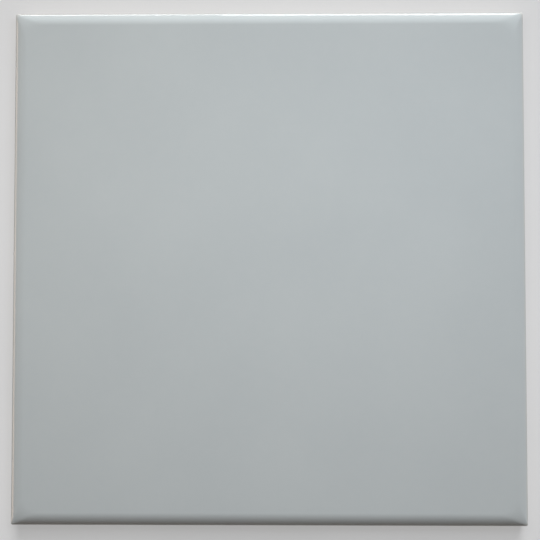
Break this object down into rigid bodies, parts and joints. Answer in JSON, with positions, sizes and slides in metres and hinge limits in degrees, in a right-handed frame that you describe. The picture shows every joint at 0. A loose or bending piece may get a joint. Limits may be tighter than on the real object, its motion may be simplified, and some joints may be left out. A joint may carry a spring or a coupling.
{
  "type": "ceramic wall tile",
  "caption": "Square glazed ceramic wall tile with a flat glossy face, a soft cushion edge all round and an unglazed keyed back.",
  "frame": {"origin": "centre of the back, in the plane of its ribs and border, which the tile lies on", "axes": "+Z out of the glazed face, +Y towards the edge that is at the top of the picture, +X to its right"},
  "size_m": [0.148, 0.148, 0.006],
  "materials": {
    "glazed_tile": "gloss"
  },
  "bodies": {
    "root": {"wall_tile": "glazed_tile"}
  },
  "joints": []
}
